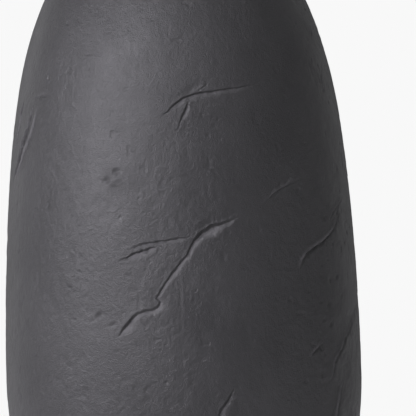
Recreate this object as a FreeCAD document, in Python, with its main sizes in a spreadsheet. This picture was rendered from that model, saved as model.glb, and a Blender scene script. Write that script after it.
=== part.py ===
# Tall round stoneware vase with a short narrow neck, hand built in courses.
# Its outline is a chain of arcs that run smoothly into each other, and every course is a piece of one arc.
# Lengths are millimetres and angles are degrees. Z is up, and the vase stands on z = 0.
import FreeCAD, Part
import math
import os
import re
import Sketcher

DIMENSIONS = {
    "belly_radius": "100",  # widest radius of the body, outside
    "neck_radius": "27.5",  # narrowest radius of the neck, outside
    "wall": "7",  # thickness of the wall and the neck
    "floor_thickness": "8",
    "low_rise": "122.5",  # height of the outer face from the floor slab up to the belly
    "side_rise": "124",  # height of the side, from the belly up
    "upper_rise": "46",  # height of the stretch above the side
    "shoulder_rise": "38.5",  # height of the shoulder
    "foot_lean": "33",  # outward lean of the wall where it starts at the floor
    "side_lean": "5.6",  # inward lean at the top of the side
    "upper_lean": "12",  # inward lean where the shoulder starts
    "shoulder_lean": "23",  # inward lean where the crown starts
    "collar_lean": "74",  # inward lean where the neck collar stands on the crown
    "lip_flare": "12",  # outward lean of the neck at the rim
    "collar_bend": "10",  # radius of the neck collar's hollow curve
    "rim_proud": "1.1",  # how far the rim coil stands out from the neck's faces
    "coil_rise": "13",  # how far the floor coil climbs the wall
    "coil_run": "14",  # how far the floor coil reaches across the floor
    "glaze": "0.8",  # thickness of the liner glaze
    "foot_height": "8",  # height of the clay foot ring
    "foot_width": "12",  # width of the foot ring's section
    "foot_setback": "4",  # how far the foot stands in from the wall above it
    "foot_bevel": "1.5",  # bevel on the foot ring's lower edges
    "pad_thickness": "2",
    "pad_margin": "0.5",  # bare clay left each side of a felt pad
}
PAD_COUNT = 4
FIRST_PAD_TURN = 45

doc = FreeCAD.newDocument("stoneware_vase")
sheet = doc.addObject("Spreadsheet::Sheet", "Dimensions")
for row, (alias, number) in enumerate(DIMENSIONS.items(), start=1):
    sheet.set(f"A{row}", number)
    sheet.setAlias(f"A{row}", alias)
doc.recompute()

ALIAS = re.compile(r"\b(" + "|".join(DIMENSIONS) + r")\b")


def bound(formula):
    """A formula in the sheet's names, as the document's expression language writes it."""
    return ALIAS.sub(r"Dimensions.\1", formula)


def value(formula):
    """What a formula comes to with the sheet's present numbers."""
    return float(sheet.evalExpression(formula))


# --- the outline -------------------------------------------------------------------------------------
# A point of the wall is centre + bend * (cos lean, sin lean). Lean is the wall's slope from upright.
# An arc that climbs by a rise between two leans has bend = rise / (sin upper lean - sin lower lean).
# Where one arc follows another, both have the same lean, and their centres are in line with the joint.

FLOOR_TOP = "(pad_thickness + foot_height + floor_thickness)"
WALL_START = f"({FLOOR_TOP} - wall * sin(foot_lean))"
BELLY_HEIGHT = f"({WALL_START} + low_rise)"

LOW_BEND = "(low_rise / sin(foot_lean))"
SIDE_BEND = "(side_rise / sin(side_lean))"
UPPER_BEND = "(upper_rise / (sin(upper_lean) - sin(side_lean)))"
SHOULDER_BEND = "(shoulder_rise / (sin(shoulder_lean) - sin(upper_lean)))"

# the crown takes up what is left between the shoulder's top and the foot of the neck collar
SHOULDER_TOP_RADIUS = (
    f"(belly_radius - {SIDE_BEND} * (1 - cos(side_lean))"
    f" - {UPPER_BEND} * (cos(side_lean) - cos(upper_lean))"
    f" - {SHOULDER_BEND} * (cos(upper_lean) - cos(shoulder_lean)))"
)
COLLAR_FOOT_RADIUS = "(neck_radius + collar_bend * (1 - cos(collar_lean)))"
CROWN_BEND = f"(({SHOULDER_TOP_RADIUS} - {COLLAR_FOOT_RADIUS}) / (cos(shoulder_lean) - cos(collar_lean)))"

# each course's bend, and the lean at its top, from the floor up; the collar bends the other way
COURSES = [
    ("wall_course_1", LOW_BEND, "(-foot_lean / 2)"),
    ("wall_course_2", LOW_BEND, "0"),
    ("wall_course_3", SIDE_BEND, "(side_lean / 2)"),
    ("wall_course_4", SIDE_BEND, "side_lean"),
    ("wall_course_5", UPPER_BEND, "upper_lean"),
    ("wall_course_6", SHOULDER_BEND, "shoulder_lean"),
    ("wall_course_7", CROWN_BEND, "collar_lean"),
    ("neck_collar", "(-collar_bend)", "(-lip_flare)"),
]


class Curve:
    """The circle that a curved edge of a profile follows."""

    def __init__(self, centre, radius, long_way=False):
        self.centre = centre
        self.radius = radius
        self.long_way = long_way


class Course:
    """One course: its arc's centre and bend, and the lean at its bottom and its top."""

    def __init__(self, name, centre, bend, bottom, top):
        self.name = name
        self.centre = centre
        self.bend = bend
        self.bottom = bottom
        self.top = top

    def radius(self, depth):
        return f"({self.bend} - {depth})"

    def point(self, lean, depth):
        """The point with this lean, this deep in from the outer face."""
        across, up = self.centre
        radius = self.radius(depth)
        return f"{across} + {radius} * cos({lean})", f"{up} + {radius} * sin({lean})"

    def curve(self, depth):
        """The arc this deep in, as the edge of a profile."""
        return Curve(self.centre, self.radius(depth))


def centre_after(course, bend):
    """Centre of the arc with this bend that follows on from the top of a course."""
    across, up = course.centre
    change = f"({course.bend} - {bend})"
    return f"{across} + {change} * cos({course.top})", f"{up} + {change} * sin({course.top})"


courses = []
for name, bend, top in COURSES:
    if courses:
        below = courses[-1]
        courses.append(Course(name, centre_after(below, bend), bend, below.top, top))
    else:
        start = (f"belly_radius - {bend}", BELLY_HEIGHT)
        courses.append(Course(name, start, bend, "(-foot_lean)", top))

lowest = courses[0]
collar = courses[-1]
OUTSIDE = "0"
INSIDE = "wall"
GLAZED = "(wall + glaze)"
STRAIGHT = None


# --- making a turned piece from its profile ----------------------------------------------------------

# how a sketch numbers an edge's two ends, its own origin and its own upright axis
FIRST_END = 1
LAST_END = 2
ORIGIN = -1
VERTICAL_AXIS = -2


def origin_plane(body, role):
    """The body's own origin plane with this role."""
    return next(plane for plane in body.Origin.OriginFeatures if plane.Role == role)


def vector(point):
    return FreeCAD.Vector(value(point[0]), value(point[1]), 0)


def profile_edge(start, end, curve):
    """A straight edge, or an arc of a curve's circle, and which of its ends is at the start."""
    first, last = vector(start), vector(end)
    if curve is STRAIGHT:
        return Part.LineSegment(first, last), FIRST_END
    middle, radius = vector(curve.centre), abs(value(curve.radius))
    start_angle = math.atan2(first.y - middle.y, first.x - middle.x)
    end_angle = math.atan2(last.y - middle.y, last.x - middle.x)
    turn = math.remainder(end_angle - start_angle, 2 * math.pi)
    if curve.long_way:
        turn -= math.copysign(2 * math.pi, turn)
    circle = Part.Circle(middle, FreeCAD.Vector(0, 0, 1), radius)
    if turn > 0:
        return Part.ArcOfCircle(circle, start_angle, start_angle + turn), FIRST_END
    return Part.ArcOfCircle(circle, end_angle, end_angle - turn), LAST_END


def name_and_bind(sketch, constraint, name, formula):
    """Add a constraint that has a size, and bind the size to the sheet."""
    sketch.renameConstraint(sketch.addConstraint(constraint), name)
    sketch.setExpression(f"Constraints.{name}", bound(formula))


def hold_point(sketch, edge, edge_end, point, name):
    """Fix one end of an edge at a point, with both its distances bound to the sheet."""
    across, up = point
    if across == "0":
        sketch.addConstraint(Sketcher.Constraint("PointOnObject", edge, edge_end, VERTICAL_AXIS))
    else:
        distance = Sketcher.Constraint("DistanceX", ORIGIN, 1, edge, edge_end, value(across))
        name_and_bind(sketch, distance, f"{name}_across", across)
    distance = Sketcher.Constraint("DistanceY", ORIGIN, 1, edge, edge_end, value(up))
    name_and_bind(sketch, distance, f"{name}_up", up)


def turned_piece(name, outline):
    """A body made by turning a closed profile round the vase's axis.

    The outline is a list of corners, each with the edge that leaves it for the next corner.
    """
    body = doc.addObject("PartDesign::Body", name)
    body.Label = name
    sketch = body.newObject("Sketcher::SketchObject", f"{name}_profile")
    sketch.AttachmentSupport = (origin_plane(body, "XZ_Plane"), [""])
    sketch.MapMode = "FlatFace"
    corners = [corner for corner, _ in outline]
    start_ends = []
    for place, (corner, curve) in enumerate(outline):
        edge, start_end = profile_edge(corner, corners[(place + 1) % len(corners)], curve)
        sketch.addGeometry(edge, False)
        start_ends.append(start_end)
    for place, (corner, curve) in enumerate(outline):
        following = (place + 1) % len(corners)
        end_end = LAST_END if start_ends[place] == FIRST_END else FIRST_END
        joined = Sketcher.Constraint("Coincident", place, end_end, following, start_ends[following])
        sketch.addConstraint(joined)
        hold_point(sketch, place, start_ends[place], corner, f"corner_{place}")
        if curve is not STRAIGHT:
            size = f"abs({curve.radius})"
            bend = Sketcher.Constraint("Radius", place, value(size))
            name_and_bind(sketch, bend, f"bend_{place}", size)
    doc.recompute()
    turning = body.newObject("PartDesign::Revolution", f"{name}_turned")
    turning.Profile = sketch
    turning.ReferenceAxis = (sketch, ["V_Axis"])
    turning.Angle = 360
    body.Tip = turning
    sketch.Visibility = False
    return body


# --- the wall, course by course, and the neck collar -------------------------------------------------
# Each joint is cut square to the wall, so one course seats on the whole face of the one below.


def wall_course(course):
    return turned_piece(
        course.name,
        [
            (course.point(course.bottom, OUTSIDE), course.curve(OUTSIDE)),
            (course.point(course.top, OUTSIDE), STRAIGHT),
            (course.point(course.top, INSIDE), course.curve(INSIDE)),
            (course.point(course.bottom, INSIDE), STRAIGHT),
        ],
    )


pieces = [wall_course(course) for course in courses]


# --- the rim coil ------------------------------------------------------------------------------------
# A round coil that sits on the collar's top face, so its section is a circle with a chord cut off.


def rim_coil():
    across, up = collar.point(collar.top, "wall / 2")
    bead = "(wall / 2 + rim_proud)"
    rise = f"sqrt({bead} * {bead} - wall * wall / 4)"
    centre = (
        f"{across} - {rise} * sin({collar.top})",
        f"{up} + {rise} * cos({collar.top})",
    )
    return turned_piece(
        "rim_coil",
        [
            (collar.point(collar.top, OUTSIDE), Curve(centre, bead, long_way=True)),
            (collar.point(collar.top, INSIDE), STRAIGHT),
        ],
    )


pieces.append(rim_coil())


# --- the floor, the foot and the coil in the corner --------------------------------------------------

SLAB_UNDERSIDE = "(pad_thickness + foot_height)"
foot_outer = f"({lowest.point(lowest.bottom, OUTSIDE)[0]} - foot_setback)"
foot_inner = f"({foot_outer} - foot_width)"


def base_slab():
    """A round slab whose edge is cut to the wall's seat above and trimmed in to the foot below."""
    return turned_piece(
        "base_slab",
        [
            (("0", SLAB_UNDERSIDE), STRAIGHT),
            ((foot_outer, SLAB_UNDERSIDE), STRAIGHT),
            (lowest.point(lowest.bottom, OUTSIDE), STRAIGHT),
            (lowest.point(lowest.bottom, INSIDE), STRAIGHT),
            (("0", FLOOR_TOP), STRAIGHT),
        ],
    )


def foot_ring():
    """A ring of plain rectangular section with both lower edges bevelled."""
    return turned_piece(
        "foot_ring",
        [
            ((f"{foot_inner} + foot_bevel", "pad_thickness"), STRAIGHT),
            ((f"{foot_outer} - foot_bevel", "pad_thickness"), STRAIGHT),
            ((foot_outer, "pad_thickness + foot_bevel"), STRAIGHT),
            ((foot_outer, SLAB_UNDERSIDE), STRAIGHT),
            ((foot_inner, SLAB_UNDERSIDE), STRAIGHT),
            ((foot_inner, "pad_thickness + foot_bevel"), STRAIGHT),
        ],
    )


coil_top = f"({lowest.bottom} + coil_rise / {lowest.radius(INSIDE)} * 180 / pi)"
coil_edge = f"({lowest.point(lowest.bottom, INSIDE)[0]} - coil_run)"


def floor_coil():
    """A coil pressed into the corner: it lies on the slab, leans on the wall and slopes between them."""
    return turned_piece(
        "floor_coil",
        [
            ((coil_edge, FLOOR_TOP), STRAIGHT),
            (lowest.point(lowest.bottom, INSIDE), lowest.curve(INSIDE)),
            (lowest.point(coil_top, INSIDE), STRAIGHT),
        ],
    )


pieces.append(base_slab())
pieces.append(foot_ring())
pieces.append(floor_coil())


# --- the liner glaze ---------------------------------------------------------------------------------
# It covers the floor, the corner coil, the wall and the neck, and stops under the rim coil.


def liner_glaze():
    outline = [(("0", FLOOR_TOP), STRAIGHT), ((coil_edge, FLOOR_TOP), STRAIGHT)]
    starts = [coil_top] + [course.bottom for course in courses[1:]]
    for course, start in zip(courses, starts):
        outline.append((course.point(start, INSIDE), course.curve(INSIDE)))
    outline.append((collar.point(collar.top, INSIDE), STRAIGHT))
    for course in reversed(courses):
        outline.append((course.point(course.top, GLAZED), course.curve(GLAZED)))
    outline.append((lowest.point(coil_top, GLAZED), STRAIGHT))
    outline.append(((coil_edge, f"{FLOOR_TOP} + glaze"), STRAIGHT))
    outline.append((("0", f"{FLOOR_TOP} + glaze"), STRAIGHT))
    return turned_piece("liner_glaze", outline)


pieces.append(liner_glaze())


# --- the felt pads -----------------------------------------------------------------------------------
# Four round pads stand on the surface and meet the flat of the foot ring's lower face.

middle_of_foot = f"({foot_outer} - foot_width / 2)"


def felt_pad(number):
    turn = math.radians(FIRST_PAD_TURN + number * 360 / PAD_COUNT)
    name = f"felt_pad_{number + 1}"
    pad = doc.addObject("Part::Cylinder", name)
    pad.Label = name
    pad.setExpression("Radius", bound("foot_width / 2 - foot_bevel - pad_margin"))
    pad.setExpression("Height", bound("pad_thickness"))
    pad.setExpression("Placement.Base.x", bound(f"{middle_of_foot} * {math.cos(turn)}"))
    pad.setExpression("Placement.Base.y", bound(f"{middle_of_foot} * {math.sin(turn)}"))
    return pad


for number in range(PAD_COUNT):
    pieces.append(felt_pad(number))

doc.recompute()


# --- checks and files --------------------------------------------------------------------------------

for thing in doc.Objects:
    if "Invalid" in thing.State or "Error" in thing.State:
        raise RuntimeError(f"{thing.Name} failed to build: {thing.State}")
for piece in pieces:
    if piece.Shape.isNull() or not piece.Shape.isValid():
        raise RuntimeError(f"{piece.Label} has no valid shape")
    if len(piece.Shape.Solids) != 1:
        raise RuntimeError(f"{piece.Label} should be one solid and has {len(piece.Shape.Solids)}")

os.makedirs("parts", exist_ok=True)
for piece in pieces:
    piece.Shape.exportStep(f"parts/{piece.Label}.step")
    box = piece.Shape.optimalBoundingBox()
    print(f"{piece.Label}: {piece.Shape.Volume:.0f} mm3, z {box.ZMin:.2f} to {box.ZMax:.2f}, "
          f"radius {box.XMax:.2f}")
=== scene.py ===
import math

import bpy
import numpy as np
from mathutils import Matrix, Vector


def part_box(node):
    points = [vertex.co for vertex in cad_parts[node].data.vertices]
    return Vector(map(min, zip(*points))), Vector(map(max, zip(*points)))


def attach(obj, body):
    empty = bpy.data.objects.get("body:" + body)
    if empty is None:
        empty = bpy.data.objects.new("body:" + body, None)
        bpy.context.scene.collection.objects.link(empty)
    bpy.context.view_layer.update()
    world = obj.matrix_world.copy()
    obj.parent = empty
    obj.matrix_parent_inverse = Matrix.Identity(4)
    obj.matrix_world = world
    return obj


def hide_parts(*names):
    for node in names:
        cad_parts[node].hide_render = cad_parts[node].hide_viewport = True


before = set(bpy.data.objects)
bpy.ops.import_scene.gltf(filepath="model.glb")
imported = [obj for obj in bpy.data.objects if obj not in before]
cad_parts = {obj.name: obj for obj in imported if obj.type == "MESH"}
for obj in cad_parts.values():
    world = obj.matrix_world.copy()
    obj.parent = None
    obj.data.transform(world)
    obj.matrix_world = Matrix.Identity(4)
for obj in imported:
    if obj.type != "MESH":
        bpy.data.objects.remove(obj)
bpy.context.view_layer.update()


# --- The wall and the neck ----------------------------------------------------------------------------
# Seven broad coils of black stoneware clay, joined with slip and paddled smooth into one tall wall, and
# a hollow-curved collar on top. The wall was stretched from within while its skin was drying, so the
# skin has torn into long slanting cracks. It is fired bare and burnished to a satin.

MM = 0.001
WHOLE_TURN = 2 * math.pi
courses = [f"wall_course_{number}" for number in range(1, 8)] + ["neck_collar"]
skin_names = [f"wall_skin_{number}" for number in range(1, 8)] + ["neck_skin"]
# how many degrees above level the wall's outer side faces at each seam, from the foot up to the rim
seam_leans = np.radians([-33, -16.5, 0, 2.8, 5.6, 12, 23, 74, -12])
foot_of_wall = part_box("wall_course_1")[0].z
belly_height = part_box("wall_course_3")[0].z
lower_wall = belly_height - foot_of_wall
first_seam = belly_height - lower_wall * math.sin(seam_leans[1]) / math.sin(seam_leans[0])
tops = [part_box(course)[1].z for course in courses[2:7]] + [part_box("rim_coil")[0].z]
seam_heights = np.array([foot_of_wall, first_seam, belly_height, *tops])
# each course is an arc whose radius is its bend, and it meets the next one at the same lean
bends = np.diff(seam_heights) / np.diff(np.sin(seam_leans))
belly_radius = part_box("wall_course_3")[1].x
swell = np.concatenate([[0], np.cumsum(bends * np.diff(np.cos(seam_leans)))])
seam_radii = belly_radius + swell - swell[2]
wall = 7 * MM
skin_depth = 0.25 * MM  # how far the skin lies within the plain wall, so that its bumps don't pass it


def arc_point(course, lean, depth):
    """Radius and height of the wall at a lean: the arc's centre plus (bend - depth) along the lean."""
    start = seam_leans[course]
    centre_radius = seam_radii[course] - bends[course] * math.cos(start)
    centre_height = seam_heights[course] - bends[course] * math.sin(start)
    reach = bends[course] - depth
    return centre_radius + reach * np.cos(lean), centre_height + reach * np.sin(lean)


# how far up along the wall each height is, so that a tear keeps its shape where the wall leans
arc_samples = [
    arc_point(course, np.linspace(seam_leans[course], seam_leans[course + 1], 40), 0)
    for course in range(len(courses))
]
climb_radii, climb_heights = np.concatenate(arc_samples, axis=1)
climb_steps = np.hypot(np.diff(climb_heights), np.diff(climb_radii))
climb_lengths = np.concatenate([[0], np.cumsum(climb_steps)])

lattice_size = 48
lattice = np.random.default_rng(7).uniform(-1, 1, (4, lattice_size, lattice_size, lattice_size))


def lumps(points, size, layer):
    """Smooth random lumps: random numbers on a cubic lattice, blended by smooth steps 3 t^2 - 2 t^3.

    The lattice's cells have the given size. It repeats, and the 1000 keeps every place above 0.
    """
    place = points / size + 1000
    corner = np.floor(place)
    share = place - corner
    share *= share * (3 - 2 * share)
    near = corner.astype(int) % lattice_size
    far = (near + 1) % lattice_size
    numbers = lattice[layer].ravel()
    deep, wide, tall = share[..., 0], share[..., 1], share[..., 2]

    def along_height(x, y):
        row = (x * lattice_size + y) * lattice_size
        low, high = numbers[row + near[..., 2]], numbers[row + far[..., 2]]
        return low + (high - low) * tall

    def along_width(x):
        front, back = along_height(x, near[..., 1]), along_height(x, far[..., 1])
        return front + (back - front) * wide

    left, right = along_width(near[..., 0]), along_width(far[..., 0])
    return left + (right - left) * deep


# Each tear has a steepness, the height of its lip in mm, a paleness and a route. The paleness sets how
# pale its ramp and cliff are painted: partly torn clay, partly a painted highlight on the ramp and
# painted light that lifts the cliff's shade. A route's points are (degrees round from the front,
# height, width of the cliff, width of the ramp), the last three in mm.
# The cliff is on the right hand of someone who walks the route, and the ramp on the left hand.
TEARS = {
    "fork": (0.52, 0.05, 0.8, [
        (20, 224.5, 0.5, 0), (17, 222.6, 1.7, 1.7), (11.3, 219.2, 2.6, 4.4), (7.7, 216.6, 2.4, 4.2),
        (5.2, 212.8, 1.4, 2.7), (2.6, 205, 1, 2.3), (-0.2, 199.5, 1, 2.1), (-2.8, 193.5, 1, 2),
        (-6.4, 185, 0.9, 1.8), (-7.4, 181.8, 0.9, 1.7), (-6.2, 179.2, 0.9, 2.1), (-6.9, 177, 1.1, 2.2),
        (-8.8, 175, 1.7, 2), (-13.6, 173.7, 1.8, 2), (-15.8, 171, 1.5, 3.2), (-17.8, 167, 1.4, 3.2),
        (-20.3, 161, 0.8, 0),
    ]),
    "fork_shade": (0.12, 0, 0, [(22, 227, 2, 0), (14, 223.5, 4, 3), (8, 220, 4, 3), (2, 216, 3, 0)]),
    "fork_left": (0.48, 0.05, 0.5, [
        (5, 215.5, 0.5, 0), (0.3, 214, 1.2, 1.8), (-5, 212.3, 1.2, 2.2), (-12, 210.8, 1.2, 2),
        (-17, 208, 0.6, 0),
    ]),
    "fork_left_low": (0.66, 0.05, 1, [
        (-5, 210, 0.5, 0), (-8.7, 208.7, 0.9, 2.2), (-11, 207.8, 0.9, 2.9), (-14, 206.4, 1, 2.7),
        (-16.5, 204.6, 1, 1.8), (-20.5, 202, 0.6, 0),
    ]),
    "top": (0.55, 0.05, 0.7, [
        (34, 298.5, 0.6, 0), (22.6, 295, 1, 1.6), (16, 294, 0.9, 2), (8.6, 292.2, 1.2, 2.4),
        (3, 289.8, 1.1, 2.4), (-1, 285.4, 0.9, 1.8), (-5.4, 280, 0.6, 0),
    ]),
    "top_branch": (0.6, 0.05, 0.9, [
        (5, 287.5, 0.6, 0), (4, 285, 1, 2), (2.6, 281, 1, 1.8), (0, 271.5, 0.5, 0),
    ]),
    "top_spur": (0.35, 0.05, 0.6, [(11.5, 297.5, 0.6, 0), (9.8, 295.3, 0.8, 1.4), (7, 291.5, 0.6, 0)]),
    "left": (1.1, 0.1, 0, [
        (-61.3, 290, 0.8, 0), (-62.7, 282, 2, 1.4), (-64.6, 274.5, 2.4, 2), (-67.2, 268.5, 2.6, 2.2),
        (-70.2, 260, 2.6, 2.2), (-73, 254, 2, 1.6), (-76.5, 247, 0.8, 0),
    ]),
    "left_edge": (0.02, 0.6, 0, [
        (-74, 248, 0.5, 0), (-70.4, 255, 0.5, 2), (-67.4, 261, 0.5, 2), (-64.2, 269, 0.5, 2),
        (-61.6, 275, 0.5, 2), (-59.8, 283, 0.5, 1.6), (-58.5, 290, 0.5, 0),
    ]),
    "left_inner": (0.9, 0.3, 0, [
        (-70.5, 292, 0.8, 0), (-73, 285, 1.8, 1.4), (-74, 277, 1.8, 1.4), (-73.5, 268, 0.8, 0),
    ]),
    "left_head": (0.3, 0.35, 0, [(-50, 293.5, 0.8, 0), (-56, 294, 1.4, 1.6), (-64, 292, 0.8, 0)]),
    "right": (0.55, 0.7, 0, [
        (68, 227, 0.6, 0), (64, 221, 0.7, 1.7), (61.2, 216.8, 0.7, 2), (57, 212.5, 0.7, 2.2),
        (52.8, 209.3, 0.7, 2.2), (48.7, 206.4, 0.7, 2.1), (45.5, 204, 0.7, 2), (43.4, 200.6, 0.7, 1.7),
        (41, 194, 0.6, 0),
    ]),
    "right_upper": (0.45, 0.5, 0, [
        (72, 236, 0.6, 0), (66, 229, 0.8, 1.6), (62, 226, 0.8, 1.4), (58, 219, 0.6, 0),
    ]),
    "right_faint": (0.4, 0.35, 0, [
        (47, 246, 0.8, 0), (40, 242, 1, 1.6), (33, 236, 1, 1.8), (28, 231, 0.8, 0),
    ]),
    "right_nick": (0.55, 0.7, 0, [
        (51.5, 155, 0.5, 0), (49.6, 152.8, 0.7, 1.7), (48, 150.8, 0.7, 1.7), (46, 148.8, 0.6, 1.2),
        (43.5, 146, 0.5, 0),
    ]),
    "lower_right": (0.34, 0.45, 0, [
        (82, 176, 0.8, 0), (75, 168, 1.2, 2.4), (70, 162, 1.4, 3), (65, 155.5, 1.4, 3),
        (61, 149, 1.2, 2.6), (57.5, 143, 1.2, 2), (54.5, 132, 0.8, 0),
    ]),
    "bottom_right": (0.5, 0.7, 0, [
        (63, 132, 0.8, 0), (60.5, 126, 1.2, 2.4), (60, 121, 1.2, 3), (58.6, 113, 1.2, 2.6),
        (57, 104, 0.8, 0),
    ]),
    "bottom_middle": (0.55, 0.08, 0.6, [
        (16.5, 132, 0.8, 0), (15, 127.5, 1.6, 1.6), (12.5, 119.5, 2.4, 2.2), (9.5, 111, 1.6, 1.8),
        (5, 103, 0.8, 0),
    ]),
    "shoulder_right": (0.3, 0.3, 0.3, [(72, 331, 0.8, 0), (69, 326, 1.2, 2), (65, 320, 0.8, 0)]),
    "foot_left": (0.32, 0.08, 0.6, [
        (-24, 93, 0.8, 0), (-30, 88, 1.2, 2.6), (-34, 80, 1.2, 3.2), (-42, 74, 1, 2.2),
        (-47, 66, 0.8, 0),
    ]),
    "foot_right": (0.32, 0.1, 0.6, [
        (44, 76, 0.8, 0), (38, 70, 1.1, 2.2), (33, 61, 1.2, 3), (30, 50, 0.8, 0),
    ]),
    "side_right": (0.34, 0.1, 0.6, [
        (118, 276, 0.8, 0), (111, 268, 1.2, 2.6), (106, 259, 1.6, 4), (103, 247, 1.6, 4.4),
        (97, 238, 1.2, 3), (92, 231, 0.8, 0),
    ]),
    "side_right_branch": (0.32, 0.08, 0.6, [
        (104, 252, 0.8, 0), (98, 250, 1, 2), (90, 247, 1, 2.4), (84, 241, 0.8, 0),
    ]),
    "side_low": (0.32, 0.1, 0.6, [
        (129, 143, 0.8, 0), (121, 135, 1.2, 2.6), (115, 124, 1.3, 3.4), (112, 110, 1.2, 2.4),
        (107, 101, 0.8, 0),
    ]),
    "back_long": (0.3, 0.08, 0.6, [
        (190, 248, 0.8, 0), (183, 242, 1.4, 3), (178, 232, 2, 5), (175, 219, 2, 5.4),
        (171, 208, 1.4, 4), (169, 194, 1.2, 3.4), (163, 187, 1, 2.6), (158, 176, 0.8, 0),
    ]),
    "back_branch": (0.34, 0.08, 0.6, [
        (176, 222, 0.8, 0), (170, 220, 1, 2.2), (163, 217, 1.2, 3), (157, 212, 0.8, 0),
    ]),
    "back_high": (0.32, 0.08, 0.6, [
        (214, 318, 0.8, 0), (206, 311, 1, 2.2), (200, 300, 1.2, 3), (197, 291, 0.8, 0),
    ]),
    "back_low": (0.32, 0.08, 0.6, [
        (226, 132, 0.8, 0), (219, 128, 1, 2.4), (212, 118, 1.6, 4), (209, 104, 1.2, 3),
        (203, 97, 0.8, 0),
    ]),
    "side_left": (0.3, 0.1, 0.6, [
        (-86, 196, 0.8, 0), (-92, 190, 1.2, 2.8), (-97, 179, 1.6, 4.4), (-100, 168, 1.5, 4),
        (-107, 160, 1, 2.4), (-110, 152, 0.8, 0),
    ]),
    "side_left_high": (0.32, 0.1, 0.6, [
        (-108, 302, 0.8, 0), (-114, 296, 1.1, 2.6), (-119, 285, 1.2, 3.4), (-121, 274, 0.8, 0),
    ]),
    "back_left": (0.32, 0.1, 0.6, [
        (-128, 236, 0.8, 0), (-134, 231, 1.1, 2.6), (-141, 228, 1.2, 3.2), (-147, 219, 1, 2),
        (-149, 211, 0.8, 0),
    ]),
    "crown": (0.3, 0.06, 0.6, [
        (148, 356, 0.8, 0), (138, 351, 1, 2), (128, 344, 1, 2.6), (121, 334, 0.8, 0),
    ]),
}


def turned_from(angle, start):
    """The turn from a start to each angle, between half a turn back and half a turn on."""
    return np.mod(angle - start + np.pi, WHOLE_TURN) - np.pi


def nearest_stretch(route_x, route_y, x, y):
    """Distance to a route of straight stretches, positive on its left side, and how far along it is."""
    run_x, run_y = np.diff(route_x), np.diff(route_y)
    length = np.hypot(run_x, run_y)
    share = ((x[:, None] - route_x[:-1]) * run_x + (y[:, None] - route_y[:-1]) * run_y) / length**2
    share = np.clip(share, 0, 1)
    off_x = x[:, None] - route_x[:-1] - share * run_x
    off_y = y[:, None] - route_y[:-1] - share * run_y
    distance = np.hypot(off_x, off_y)
    nearest = distance.argmin(axis=1)
    rows = np.arange(len(x))
    side = np.sign(run_x[nearest] * off_y[rows, nearest] - run_y[nearest] * off_x[rows, nearest])
    gone = np.concatenate([[0], np.cumsum(length)])
    return side * distance[rows, nearest], gone[nearest] + share[rows, nearest] * length[nearest], gone


def tear(steepness, lip, bareness_and_painted_light, route, angle, climb, points):
    """How deep a tear cuts, and how pale and dry its inner face is. The paleness is partly the torn
    clay's own colour and partly painted light.

    The cut falls by a smooth step over the cliff to steepness * ramp, and rises again over the ramp,
    first steeply and then gently, as 0.6 (1 - 2 share)^1.5 + 0.4 (1 - share)^2. The lip is a bell curve
    along the top of the cliff, a little broader outside it, and a high lip gets a pale painted
    highlight along it. Lumps make the route wander and its edges fray. Only a wide ramp is paler, as
    torn clay and as a painted highlight on the ramp, and its cliff a little, as painted light that
    lifts the cliff's shade.
    """
    degrees, heights, cliffs, ramps = np.array(route, float).T
    middle_angle = math.radians(degrees.mean())
    middle_climb = np.interp(heights.mean() * MM, climb_heights, climb_lengths)
    radius = np.interp(heights.mean() * MM, climb_heights, climb_radii)
    route_x = (np.radians(degrees) - middle_angle) * radius
    route_y = np.interp(heights * MM, climb_heights, climb_lengths) - middle_climb
    x = turned_from(angle, middle_angle) * radius
    y = climb - middle_climb
    margin = 14 * MM
    near = (x > route_x.min() - margin) & (x < route_x.max() + margin)
    near &= (y > route_y.min() - margin) & (y < route_y.max() + margin)
    cut, bare_and_painted_light = np.zeros_like(x), np.zeros_like(x)
    if not near.any():
        return cut, bare_and_painted_light
    spots = points[near]
    wander_x = 0.5 * lumps(spots, 6 * MM, 0) + 0.3 * lumps(spots, 2.2 * MM, 1)
    wander_y = 0.5 * lumps(spots, 6 * MM, 2) + 0.3 * lumps(spots, 2.2 * MM, 3)
    spot_x, spot_y = x[near] + wander_x * MM, y[near] + wander_y * MM
    across, along, gone = nearest_stretch(route_x, route_y, spot_x, spot_y)
    cliff = np.interp(along, gone, cliffs) * MM
    ramp = np.interp(along, gone, ramps) * MM + 0.001 * MM
    ragged = 1.6 * ramp * (1 + 0.3 * lumps(spots, 2.6 * MM, 2))
    step = np.clip(1 + across / cliff, 0, 1)
    fall = step * step * (3 - 2 * step)
    share = across / ragged
    rise = 0.6 * np.clip(1 - 2 * share, 0, 1) ** 1.5 + 0.4 * np.clip(1 - share, 0, 1) ** 2
    fullness = np.clip(ramp / (2 * MM), 0, 1)
    off_rim = across + cliff
    breadth = np.where(off_rim < 0, 1.1 * MM, 0.7 * MM)
    rim = np.exp(-((off_rim / breadth) ** 2)) * fullness
    upright = spots * (1, 1, 0.3)
    frayed = lumps(upright, 1.1 * MM, 3) * np.exp(-np.abs(across) / (1.2 * ramp)) * fullness
    cut[near] = steepness * ramp * np.where(across < 0, fall, rise) + (0.16 * frayed - lip * rim) * MM
    wide = np.clip(ramp / (1.4 * MM) - 0.6, 0, 1)
    patchy = np.clip(0.8 + 0.7 * lumps(upright, 1.6 * MM, 1), 0, 1)
    # paler ramp and cliff: partly torn clay, partly a painted highlight on the ramp and painted light
    # lifting the cliff's shade
    bare_and_painted_light[near] = bareness_and_painted_light * patchy * wide * np.where(across > 0, np.sqrt(rise), 0.3 * fall)
    # a painted highlight along the crest of a high lip
    bare_and_painted_light[near] = np.maximum(bare_and_painted_light[near], 0.9 * patchy * lip * rim)
    return cut, bare_and_painted_light


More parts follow.
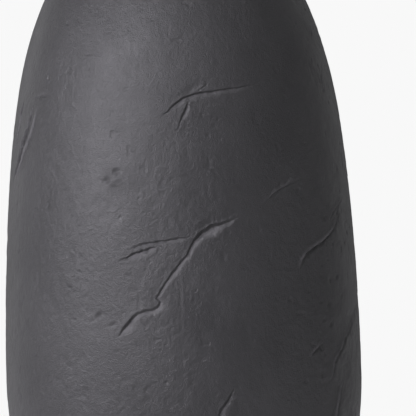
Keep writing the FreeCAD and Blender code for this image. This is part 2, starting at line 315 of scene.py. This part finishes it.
# Each dent is (degrees round from the front, height, long way, short way, depth), the last four in mm.
# A depth below 0 is a raised dab.
DENTS = [
    (-24.1, 246.6, 2.3, 1.8, 0.8), (-20.6, 251, 2.2, 1.8, 0.75), (-21.3, 246.2, 4.6, 2.2, -0.35),
    (-27, 173, 2.2, 1.4, 0.7), (-22, 168, 2, 1.2, 0.4), (38.7, 243.5, 3.4, 1, 0.45),
    (36, 241.4, 1.5, 1, 0.4), (43.7, 238.4, 1.6, 1.1, 0.4), (51.7, 239.3, 1.6, 1, 0.4),
    (6.3, 295.8, 5.5, 2.2, 0.5), (13.3, 275, 2, 1.2, 0.25), (56, 222.5, 1.8, 1.1, 0.7),
    (65, 225, 1.8, 1.2, 0.7), (61, 190, 1.7, 1.1, 0.8), (37, 179, 1.5, 1, 0.5), (51, 177, 1.7, 1, 0.6),
    (50.6, 149.5, 1.7, 1.2, -0.3), (45.6, 153.7, 1.5, 1.1, -0.25), (55, 175, 1.8, 1, 0.7),
    (52, 167, 1.6, 1, 0.7), (56, 164.5, 1.8, 1, 0.7), (42.5, 134, 1.7, 1, 0.7),
    (50.5, 137, 1.7, 1.1, 0.7), (134, 203, 3.2, 2, 0.5), (196, 168, 3, 1.8, 0.5),
    (-152, 160, 2.6, 1.8, 0.5), (-96, 128, 3, 1.6, 0.4), (88, 92, 3.4, 2, 0.5),
    (-170, 288, 3, 1.7, 0.4), (150, 262, 2.4, 1.6, 0.4),
]


def dent(spot, angle, climb):
    """A smooth oval hollow, a bell curve along two axes, its long axis slanting up to the right."""
    degrees, height, long_way, short_way, deep = spot
    radius = np.interp(height * MM, climb_heights, climb_radii)
    x = turned_from(angle, math.radians(degrees)) * radius
    y = climb - np.interp(height * MM, climb_heights, climb_lengths)
    slant = math.radians(40)
    along = x * math.cos(slant) + y * math.sin(slant)
    across = y * math.cos(slant) - x * math.sin(slant)
    return deep * MM * np.exp(-((along / (long_way * MM)) ** 2) - (across / (short_way * MM)) ** 2)


def grain(points):
    """The clay's own unevenness: slow swells, paddle marks, orange peel, upright scrapes and pits.

    It is a sum of lumps, in mm. The shoulder is burnished more than the foot, so that its orange peel
    is only 0.8 / 1.35 as strong, and the right side least, so that it has the most pits. Burnishing has
    flattened the high places: a rise h is left at h / (1 + h / highest), so that none reaches highest.
    """
    highest = 0.25
    relief = 0.16 * lumps(points, 38 * MM, 0) + 0.16 * lumps(points, 15 * MM, 1)
    peel = 0.18 * lumps(points, 6 * MM, 2) + 0.11 * lumps(points, 2.7 * MM, 3)
    peel += 0.04 * lumps(points, 1.5 * MM, 0)
    relief += np.interp(points[..., 2], (100 * MM, 300 * MM), (1.35, 0.8)) * peel
    scraped = np.clip(lumps(points, 26 * MM, 3) + 0.2, 0, 1)
    relief += 0.08 * scraped * lumps(points * (1, 1, 0.14), 1.5 * MM, 1)
    relief = np.where(relief > 0, relief / (1 + relief / highest), relief)
    few = np.interp(points[..., 0], (50 * MM, 80 * MM), (0.8, 0.6))
    pits = np.clip(lumps(points, 2.9 * MM, 1) + 0.6 * lumps(points, 9 * MM, 2) - few, 0, 1)
    return (relief - 0.6 * pits) * MM


def skin(angle, climb, points):
    """How far the skin stands out from the smooth wall, and where a tear is painted pale: torn clay,
    with painted highlights on its ramps and lips and painted light on its cliffs.

    It is the grain, less the dents and less the deepest tear at each spot.
    """
    cut, bare_and_painted_light = np.zeros(angle.shape), np.zeros(angle.shape)
    for size_and_route in TEARS.values():
        new_cut, new_bare_and_painted_light = tear(*size_and_route, angle, climb, points)
        cut = np.where(np.abs(new_cut) > np.abs(cut), new_cut, cut)
        bare_and_painted_light = np.maximum(bare_and_painted_light, new_bare_and_painted_light)
    return grain(points) - sum(dent(spot, angle, climb) for spot in DENTS) - cut, bare_and_painted_light


def round_points(radius, height, angle):
    """Points on circles round the axis: (radius sin angle, -radius cos angle, height)."""
    return np.stack([radius * np.sin(angle), -radius * np.cos(angle), height + 0 * angle], axis=-1)


def closed_skin(name, points, normals=None, bare_and_painted_light=None):
    """A closed mesh from a grid of points. Its columns go round the axis.

    Its rows go round a section, or, where the first row is a single point, from that pole to the other.
    A four-sided face joins each four neighbours, and a fan of triangles closes each pole.
    """
    rows, columns = points.shape[:2]
    column = np.arange(columns)
    if np.ptp(points[0], axis=0).max() < 1e-9:
        spots = np.concatenate([points[0, :1], points[1:-1].reshape(-1, 3), points[-1, :1]])
        index = 1 + np.arange((rows - 2) * columns).reshape(rows - 2, columns)
        below, above = index[:-1], index[1:]
        beside = np.roll(index, -1, axis=1)
        start = np.stack([0 * column, beside[0], index[0]], axis=1)
        end = np.stack([index[-1], beside[-1], 0 * column + len(spots) - 1], axis=1)
        fans = np.concatenate([start, end])
    else:
        spots = points.reshape(-1, 3)
        index = np.arange(rows * columns).reshape(rows, columns)
        below, above = index, np.roll(index, -1, axis=0)
        fans = np.zeros((0, 3), int)
    quads = [below, np.roll(below, -1, axis=1), np.roll(above, -1, axis=1), above]
    quads = np.stack([corner.ravel() for corner in quads], axis=1)
    corners = np.concatenate([quads.ravel(), fans.ravel()]).astype(np.int32)
    starts = np.concatenate([np.arange(len(quads)) * 4, len(quads) * 4 + np.arange(len(fans)) * 3])
    mesh = bpy.data.meshes.new(name)
    mesh.vertices.add(len(spots))
    mesh.vertices.foreach_set("co", spots.astype(np.float32).ravel())
    mesh.loops.add(len(corners))
    mesh.loops.foreach_set("vertex_index", corners)
    mesh.polygons.add(len(starts))
    mesh.polygons.foreach_set("loop_start", starts.astype(np.int32))
    mesh.update(calc_edges=True)
    mesh.polygons.foreach_set("use_smooth", np.ones(len(starts), bool))
    # a mark of how pale each point is painted: torn clay, with painted highlights and painted light in
    # the tears
    if bare_and_painted_light is not None:
        mark = mesh.attributes.new("bare_and_painted_light", "FLOAT", "POINT")
        mark.data.foreach_set("value", bare_and_painted_light.astype(np.float32).ravel())
    if normals is not None:
        mesh.normals_split_custom_set_from_vertices(normals.reshape(-1, 3))
    piece = bpy.data.objects.new(name, mesh)
    bpy.context.scene.collection.objects.link(piece)
    return piece


def course_face(course, lean, angle):
    """Points of a course's torn outer face, and how pale each one is painted, as torn clay and painted
    light.
    """
    smooth = round_points(*arc_point(course, lean, skin_depth), angle)
    start = np.interp(seam_heights[course], climb_heights, climb_lengths)
    relief, bare_and_painted_light = skin(angle, start + (lean - seam_leans[course]) * bends[course], smooth)
    return smooth + round_points(np.cos(lean), np.sin(lean), angle) * relief[..., None], bare_and_painted_light


def square_to(points, points_beside, points_above):
    """Outward directions of a surface, from its points and the points a hair to the right and above."""
    outward = np.cross(points_beside - points, points_above - points)
    return outward / np.linalg.norm(outward, axis=-1, keepdims=True)


def course_skin(course, rows=93, inner_rows=5):
    """One course as a closed ring: a torn outer face, square-cut ends and a plain inner face."""
    columns = 600 if courses[course] == "neck_collar" else 1000
    around = np.linspace(0, WHOLE_TURN, columns, endpoint=False)
    bottom, top = seam_leans[course], seam_leans[course + 1]
    lean, angle = np.meshgrid(np.linspace(bottom, top, rows), around, indexing="ij")
    hair = 0.15 * MM
    outer, bare_and_painted_light = course_face(course, lean, angle)
    beside, _ = course_face(course, lean, angle + hair / seam_radii[course])
    above, _ = course_face(course, lean + hair / bends[course], angle)
    outward = square_to(outer, beside, above)
    lean, angle = np.meshgrid(np.linspace(top, bottom, inner_rows), around, indexing="ij")
    inner = round_points(*arc_point(course, lean, wall), angle)
    inward = -round_points(np.cos(lean), np.sin(lean), angle)
    return closed_skin(
        skin_names[course],
        np.concatenate([outer, inner]),
        np.concatenate([outward, inward]),
        np.concatenate([bare_and_painted_light, 0 * lean]),
    )


def new_material(name):
    """A new material, and the sockets of its shader."""
    material = bpy.data.materials.new(name)
    material.use_nodes = True
    return material, material.node_tree.nodes["Principled BSDF"].inputs


def noise(material, scale, detail, stretch=(1, 1, 1)):
    """A cloudy pattern in the piece's own space, scale lumps to the metre."""
    nodes, links = material.node_tree.nodes, material.node_tree.links
    place, turn = nodes.new("ShaderNodeTexCoord"), nodes.new("ShaderNodeMapping")
    cloud = nodes.new("ShaderNodeTexNoise")
    turn.inputs["Scale"].default_value = stretch
    cloud.inputs["Scale"].default_value = scale
    cloud.inputs["Detail"].default_value = detail
    cloud.inputs["Roughness"].default_value = 0.6
    links.new(place.outputs["Object"], turn.inputs["Vector"])
    links.new(turn.outputs["Vector"], cloud.inputs["Vector"])
    return cloud.outputs["Fac"]


def spread(material, source, low, high, first, last):
    """Stretches a pattern so that low gives the first value and high the last."""
    stretch = material.node_tree.nodes.new("ShaderNodeMapRange")
    for socket, number in zip(("From Min", "From Max", "To Min", "To Max"), (low, high, first, last)):
        stretch.inputs[socket].default_value = number
    material.node_tree.links.new(source, stretch.inputs["Value"])
    return stretch.outputs["Result"]


def tint(material, share, first, second):
    """Mixes two colours, or a pattern of colours and a colour, by a pattern."""
    mix = material.node_tree.nodes.new("ShaderNodeMix")
    mix.data_type = "RGBA"
    factor, first_colour, second_colour = (mix.inputs[number] for number in (0, 6, 7))
    material.node_tree.links.new(share, factor)
    if isinstance(first, tuple):
        first_colour.default_value = (*first, 1)
    else:
        material.node_tree.links.new(first, first_colour)
    second_colour.default_value = (*second, 1)
    return mix.outputs[2]


def roughen(material, patterns, depth):
    """Bump from several patterns, one over another. Each one's strength is a number or a pattern."""
    nodes, links = material.node_tree.nodes, material.node_tree.links
    normal = None
    for pattern, strength in patterns:
        bump = nodes.new("ShaderNodeBump")
        bump.inputs["Distance"].default_value = depth
        if isinstance(strength, float):
            bump.inputs["Strength"].default_value = strength
        else:
            links.new(strength, bump.inputs["Strength"])
        links.new(pattern, bump.inputs["Height"])
        if normal is not None:
            links.new(normal, bump.inputs["Normal"])
        normal = bump.outputs["Normal"]
    links.new(normal, nodes["Principled BSDF"].inputs["Normal"])


black_clay, worn_clay = (0.024, 0.0235, 0.0252), (0.032, 0.0312, 0.0332)
# the pale torn-clay colour is also the colour of painted highlights and painted light in the tears
fine_specks, torn_clay_and_painted_light = (0.055, 0.053, 0.056), (0.12, 0.116, 0.122)
clay, clay_inputs = new_material("burnished_clay")
bare_and_painted_light_mark = clay.node_tree.nodes.new("ShaderNodeAttribute")
bare_and_painted_light_mark.attribute_name = "bare_and_painted_light"
colour = tint(clay, spread(clay, noise(clay, 22, 5), 0.35, 0.65, 0, 1), black_clay, worn_clay)
colour = tint(clay, spread(clay, noise(clay, 1400, 2), 0.62, 0.72, 0, 0.5), colour, fine_specks)
# the tears' pale mark: torn clay, with painted highlights on ramps and lips and painted light lifting
# the cliffs' shade
colour = tint(clay, spread(clay, bare_and_painted_light_mark.outputs["Fac"], 0, 1, 0, 1), colour, torn_clay_and_painted_light)
clay.node_tree.links.new(colour, clay_inputs["Base Color"])
# the shine's roughness is a cloudy 0.30 to 0.40, and as much as 0.4 more where the tears are painted
# pale
dryness = clay.node_tree.nodes.new("ShaderNodeMath")
dryness.operation = "MULTIPLY_ADD"
dryness.inputs[1].default_value = 0.4
clay.node_tree.links.new(bare_and_painted_light_mark.outputs["Fac"], dryness.inputs[0])
clay.node_tree.links.new(spread(clay, noise(clay, 60, 6), 0.3, 0.7, 0.30, 0.40), dryness.inputs[2])
clay.node_tree.links.new(dryness.outputs["Value"], clay_inputs["Roughness"])
patches = noise(clay, 16, 3)
roughen(clay, [
    (noise(clay, 520, 3), spread(clay, patches, 0.35, 0.65, 0.55, 0.9)),
    (noise(clay, 1700, 3), spread(clay, patches, 0.35, 0.65, 0.7, 1)),
], 0.4 * MM)

for number, course in enumerate(courses):
    piece = course_skin(number)
    piece.data.materials.append(clay)
    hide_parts(course)
    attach(piece, "root")


# --- The rim coil -------------------------------------------------------------------------------------
# A thin round coil luted onto the collar's top edge and smoothed with a wet leather, so that the lip is
# a soft even roll with a slight groove under it where it meets the collar.

roll_over = 1.1 * MM
bead = wall / 2 + roll_over
rim_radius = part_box("rim_coil")[1].x - bead
rim_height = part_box("rim_coil")[1].z - bead


def rim_face(turn, angle):
    """A roll of round section: its centre + (bead - skin_depth + 0.7 grain) (cos turn, sin turn)."""
    size = bead - skin_depth
    smooth = round_points(rim_radius + size * np.cos(turn), rim_height + size * np.sin(turn), angle)
    return smooth + round_points(np.cos(turn), np.sin(turn), angle) * (0.7 * grain(smooth)[..., None])


def rim_skin(rows=60, columns=640):
    """The roll from the collar's outer edge over to its inner edge, flat where it meets the collar."""
    hair_round, hair_over = 0.005, 0.03
    collar, collar_top = courses.index("neck_collar"), seam_leans[-1]
    outer_radius, outer_height = arc_point(collar, collar_top, skin_depth)
    inner_radius, inner_height = arc_point(collar, collar_top, wall)
    start = math.atan2(outer_height - rim_height, outer_radius - rim_radius)
    end = math.atan2(inner_height - rim_height, inner_radius - rim_radius) + WHOLE_TURN
    around = np.linspace(0, WHOLE_TURN, columns, endpoint=False)
    turn, angle = np.meshgrid(np.linspace(start, end, rows), around, indexing="ij")
    points = rim_face(turn, angle)
    outward = square_to(points, rim_face(turn, angle + hair_round), rim_face(turn + hair_over, angle))
    return closed_skin("rim_skin", points, outward, 0 * turn)


rim = rim_skin()
rim.data.materials.append(clay)
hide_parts("rim_coil")
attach(rim, "root")


# --- The base slab and the foot ring ------------------------------------------------------------------
# A rolled slab cut round, with the wall seated on its sloping edge, and a ring of clay luted beneath it
# and trimmed in, so that the vase seems to hover. Both are wiped with a sponge and left bare and dry.

damp_clay, dusty_clay, grit = (0.045, 0.042, 0.043), (0.062, 0.057, 0.056), (0.11, 0.10, 0.09)
dry, dry_inputs = new_material("bare_clay")
colour = tint(dry, spread(dry, noise(dry, 30, 6), 0.35, 0.65, 0, 1), damp_clay, dusty_clay)
colour = tint(dry, spread(dry, noise(dry, 900, 2), 0.6, 0.72, 0, 0.7), colour, grit)
dry.node_tree.links.new(colour, dry_inputs["Base Color"])
dry.node_tree.links.new(spread(dry, noise(dry, 90, 6), 0.3, 0.7, 0.68, 0.85), dry_inputs["Roughness"])
roughen(dry, [(noise(dry, 350, 4), 0.7), (noise(dry, 1300, 3), 0.7)], 0.5 * MM)


def rounded(corners, radii, gap, closed):
    """A line through corners: each corner is a smooth bend (1-t)^2 a + 2t(1-t) b + t^2 c of its radius.

    The straights between are filled in at the gap. Gives the radius and the height of each point.
    """
    bend_steps = 9
    corners = np.array(corners, float)
    line = []
    for number, (corner, radius) in enumerate(zip(corners, radii)):
        before, after = corners[number - 1] - corner, corners[(number + 1) % len(corners)] - corner
        bend = corner[None]
        if radius > 0:
            t = np.linspace(0, 1, bend_steps)[:, None]
            a = corner + before / np.linalg.norm(before) * radius
            c = corner + after / np.linalg.norm(after) * radius
            bend = (1 - t) ** 2 * a + 2 * t * (1 - t) * corner + t**2 * c
        line.append(bend)
    line = np.concatenate(line + ([line[0][:1]] if closed else []))
    gone = np.concatenate([[0], np.cumsum(np.hypot(*np.diff(line, axis=0).T))])
    filling = np.linspace(0, gone[-1], int(gone[-1] / gap))
    places = np.union1d(np.round(gone, 8), np.round(filling, 8))
    places = places[:-1] if closed else places
    return np.interp(places, gone, line[:, 0]), np.interp(places, gone, line[:, 1])


def turned_skin(
    name, corners, radii, gap, columns, strength,
    closed=False, centre=(0, 0), relief=grain, inset=skin_depth,
):
    """A rounded profile turned round an upright axis.

    Each point is moved along its outward side by strength * relief - inset.
    """
    radius, height = rounded(corners, radii, gap, closed)
    if closed:
        along_r = np.roll(radius, -1) - np.roll(radius, 1)
        along_z = np.roll(height, -1) - np.roll(height, 1)
    else:
        along_r, along_z = np.gradient(radius), np.gradient(height)
    size = np.hypot(along_r, along_z)
    around = np.linspace(0, WHOLE_TURN, columns, endpoint=False)
    angle = around[None] + 0 * radius[:, None]
    smooth = round_points(radius[:, None], height[:, None], angle) + (*centre, 0)
    outward = round_points((along_z / size)[:, None], (-along_r / size)[:, None], angle)
    points = smooth + outward * (strength * relief(smooth) - inset)[..., None]
    return closed_skin(name, points)


slab_low, slab_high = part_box("base_slab")[0].z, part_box("base_slab")[1].z
foot_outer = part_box("foot_ring")[1].x
foot_inner = foot_outer - 12 * MM
foot_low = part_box("foot_ring")[0].z - 0.2 * MM  # the inset brings it back up to the pads
foot_high = slab_low + 0.5 * MM  # luted a little way into the slab
seat_outer = arc_point(0, seam_leans[0], 0)
seat_inner = arc_point(0, seam_leans[0], wall)
slab = turned_skin(
    "base_skin",
    [(0, slab_low), (foot_outer, slab_low), seat_outer, seat_inner, (0, slab_high)],
    [0, 0.6 * MM, 0.2 * MM, 0.2 * MM, 0],
    1.2 * MM, 360, 1,
)
foot = turned_skin(
    "foot_skin",
    [(foot_inner, foot_low), (foot_outer, foot_low), (foot_outer, foot_high), (foot_inner, foot_high)],
    [1.6 * MM, 1.6 * MM, 0.3 * MM, 0.3 * MM],
    0.7 * MM, 480, 0.8, closed=True, inset=0.8 * skin_depth,
)
for piece, node in ((slab, "base_slab"), (foot, "foot_ring")):
    piece.data.materials.append(dry)
    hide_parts(node)
    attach(piece, "root")


# --- The floor coil and the liner glaze ---------------------------------------------------------------
# A soft coil is pressed into the corner between the floor and the wall. Over it and the whole inside
# runs a black liner glaze, poured in and swilled round, which makes the vase hold water.

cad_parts["floor_coil"].material_slots[0].material = dry

glaze = 0.8 * MM
coil_width, coil_rise = 14 * MM, 13 * MM
coil_edge = seat_inner[0] - coil_width
coil_top = seam_leans[0] + coil_rise / (bends[0] - wall)


def glaze_waves(points):
    """Slow upright waves where the glaze ran, 0.12 mm high, with dimples of 0.05 mm."""
    return (0.12 * lumps(points * (1, 1, 0.35), 9 * MM, 1) + 0.05 * lumps(points, 3.5 * MM, 2)) * MM


def glaze_line(depth, rise, steps):
    """The liner's profile at a depth into the wall: along the floor, up the coil and up each course."""
    line = []
    for course in range(len(courses)):
        start = coil_top if course == 0 else seam_leans[course]
        last = course == len(courses) - 1
        leans = np.linspace(start, seam_leans[course + 1], steps, endpoint=last)
        line.append(arc_point(course, leans, depth))
    radius, height = np.concatenate(line, axis=1)
    floor_radius = np.array([0, coil_edge / 2, coil_edge - 2 * MM, coil_edge + 2 * MM])
    floor_height = slab_high + rise + np.array([0, 0, 0, MM])
    return np.concatenate([floor_radius, radius]), np.concatenate([floor_height, height])


def liner_skin(columns=240):
    """A thin closed shell: out and up against the clay, and back down 0.8 mm nearer the axis."""
    hidden_radius, hidden_height = glaze_line(wall, 0, 6)
    seen_radius, seen_height = glaze_line(wall + glaze, glaze, 20)
    radius = np.concatenate([hidden_radius, seen_radius[::-1]])
    height = np.concatenate([hidden_height, seen_height[::-1]])
    around = np.linspace(0, WHOLE_TURN, columns, endpoint=False)
    angle = around[None] + 0 * radius[:, None]
    points = round_points(radius[:, None], height[:, None], angle)
    wavy = np.zeros(len(radius))
    top_rows, floor_rows = 4, 6  # the rows at the rim and on the floor stay plain
    wavy[len(hidden_radius) + top_rows : -floor_rows] = 1
    waves = glaze_waves(points) * wavy[:, None]
    return closed_skin("liner_skin", points - round_points(waves, 0 * waves, angle))


thick_glaze, thin_glaze = (0.012, 0.011, 0.012), (0.024, 0.019, 0.017)
liner, liner_inputs = new_material("black_glaze")
colour = tint(liner, spread(liner, noise(liner, 45, 5), 0.4, 0.6, 0, 1), thick_glaze, thin_glaze)
gloss = spread(liner, noise(liner, 120, 5), 0.3, 0.7, 0.12, 0.24)
liner.node_tree.links.new(colour, liner_inputs["Base Color"])
liner.node_tree.links.new(gloss, liner_inputs["Roughness"])
liner_inputs["Coat Weight"].default_value = 0.6
liner_inputs["Coat Roughness"].default_value = 0.08
roughen(liner, [(noise(liner, 160, 2, (1, 1, 0.4)), 0.25)], 0.5 * MM)

inside = liner_skin()
inside.data.materials.append(liner)
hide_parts("liner_glaze")
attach(inside, "root")


# --- The felt pads ------------------------------------------------------------------------------------
# Four discs punched from pressed grey wool felt and stuck to the foot, so that the fired clay doesn't
# scratch the table. The punch rounds their lower edge and leaves it fluffy.

dark_wool, grey_wool, pale_wool = (0.055, 0.054, 0.056), (0.13, 0.128, 0.13), (0.17, 0.165, 0.16)
felt, felt_inputs = new_material("wool_felt")
fibres = noise(felt, 1800, 5, (1, 1, 0.3))
colour = tint(felt, spread(felt, fibres, 0.35, 0.65, 0, 1), dark_wool, grey_wool)
colour = tint(felt, spread(felt, noise(felt, 500, 3), 0.5, 0.75, 0, 0.5), colour, pale_wool)
felt.node_tree.links.new(colour, felt_inputs["Base Color"])
felt_inputs["Roughness"].default_value = 0.95
felt_inputs["Sheen Weight"].default_value = 0.5
roughen(felt, [(noise(felt, 2500, 4), 0.9)], 0.3 * MM)


def fluff(points):
    """Matted fibres: lumps of 0.9 mm and 0.35 mm, all of them below the plain surface."""
    return (0.10 * lumps(points, 0.9 * MM, 0) + 0.06 * lumps(points, 0.35 * MM, 2) - 0.16) * MM


for number in range(1, 5):
    low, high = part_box(f"felt_pad_{number}")
    middle = (low + high) / 2
    radius, top = (high.x - low.x) / 2, high.z + 0.3 * MM
    pad = turned_skin(
        f"pad_{number}",
        [(0, low.z), (radius, low.z), (radius, top), (0, top)],
        [0, 0.5 * MM, 0.2 * MM, 0],
        0.18 * MM, 96, 1, centre=(middle.x, middle.y), relief=fluff, inset=0,
    )
    pad.data.materials.append(felt)
    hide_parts(f"felt_pad_{number}")
    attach(pad, "root")


# --- The camera, the light and the floor --------------------------------------------------------------
# A long lens a good way back, level with the middle of the vase and rolled a little. Broad soft lights
# high at the front left, weak ones low at both sides, and a pale floor in a white studio.

camera_distance = 2.6
camera_height = 0.230
camera_aside = 0.0161
camera_roll = 1.576
view_width = 0.2341
lens = bpy.data.cameras.new("camera")
lens.sensor_width = 36
lens.lens = lens.sensor_width * camera_distance / view_width
lens.clip_end = 50
camera = bpy.data.objects.new("camera", lens)
level = Matrix.Rotation(math.radians(90), 4, "X")
roll = Matrix.Rotation(-math.radians(camera_roll), 4, "Z")
place = Matrix.Translation((camera_aside, -camera_distance, camera_height))
camera.matrix_world = place @ level @ roll
bpy.context.scene.collection.objects.link(camera)
bpy.context.scene.camera = camera


def softbox(name, bearing, distance, height, width, tallness, watts, colour):
    """A soft panel that faces the vase from a bearing, in degrees round from the front to the right."""
    light = bpy.data.lights.new(name, "AREA")
    light.shape = "RECTANGLE"
    light.size = width
    light.size_y = tallness
    light.energy = watts
    light.color = colour
    panel = bpy.data.objects.new(name, light)
    place = round_points(distance, height, np.radians(bearing))
    turn = (Vector(place) - Vector((0, 0, camera_height))).to_track_quat("Z", "Y")
    panel.matrix_world = Matrix.Translation(place) @ turn.to_matrix().to_4x4()
    panel.visible_camera = False
    bpy.context.scene.collection.objects.link(panel)


# bearing in degrees; distance, height, width and tallness in metres; power in watts
violet_white = (1, 0.98, 1.05)
cool_white = (1, 1, 1.02)
softbox("key", -60, 1.6, 0.93, 0.45, 0.4, 18.2, violet_white)
softbox("front", -28, 1.6, 1.05, 0.5, 0.8, 15.7, violet_white)
softbox("low_left", -68, 1.5, 0.3, 1.6, 0.6, 2.8, violet_white)
softbox("back_left", -128, 1.5, 0.6, 1.6, 1.2, 3.2, cool_white)
softbox("right", 60, 1.6, 0.3, 0.45, 0.6, 1.6, cool_white)
softbox("back_right", 135, 1.5, 0.6, 1.2, 1.2, 1, cool_white)
softbox("high", 30, 1.4, 2.1, 2.4, 0.6, 8.8, cool_white)
softbox("overhead", 0, 0.01, 2.2, 1.2, 1.2, 4, cool_white)

studio = bpy.data.worlds.new("studio")
studio.use_nodes = True
bpy.context.scene.world = studio
# the white wall that the camera sees behind the vase lights it only a little
seen = studio.node_tree.nodes.new("ShaderNodeLightPath")
glow = studio.node_tree.nodes.new("ShaderNodeMapRange")
glow.inputs["To Min"].default_value = 0.1
glow.inputs["To Max"].default_value = 0.939
studio.node_tree.links.new(seen.outputs["Is Camera Ray"], glow.inputs["Value"])
backdrop = studio.node_tree.nodes["Background"].inputs
studio.node_tree.links.new(glow.outputs["Result"], backdrop["Strength"])
backdrop["Color"].default_value = (1, 1, 1, 1)
bpy.context.scene.view_settings.view_transform = "Standard"

floor_reach, floor_corners = 2.2, 96
turns = np.linspace(0, WHOLE_TURN, floor_corners, endpoint=False)
floor_mesh = bpy.data.meshes.new("floor")
edge = round_points(floor_reach, 0.0, turns).tolist()
floor_mesh.from_pydata(edge, [], [list(range(floor_corners))])
floor = bpy.data.objects.new("floor", floor_mesh)
bpy.context.scene.collection.objects.link(floor)
paper, paper_inputs = new_material("paper")
paper_inputs["Base Color"].default_value = (0.8, 0.8, 0.8, 1)
paper_inputs["Roughness"].default_value = 0.9
floor_mesh.materials.append(paper)
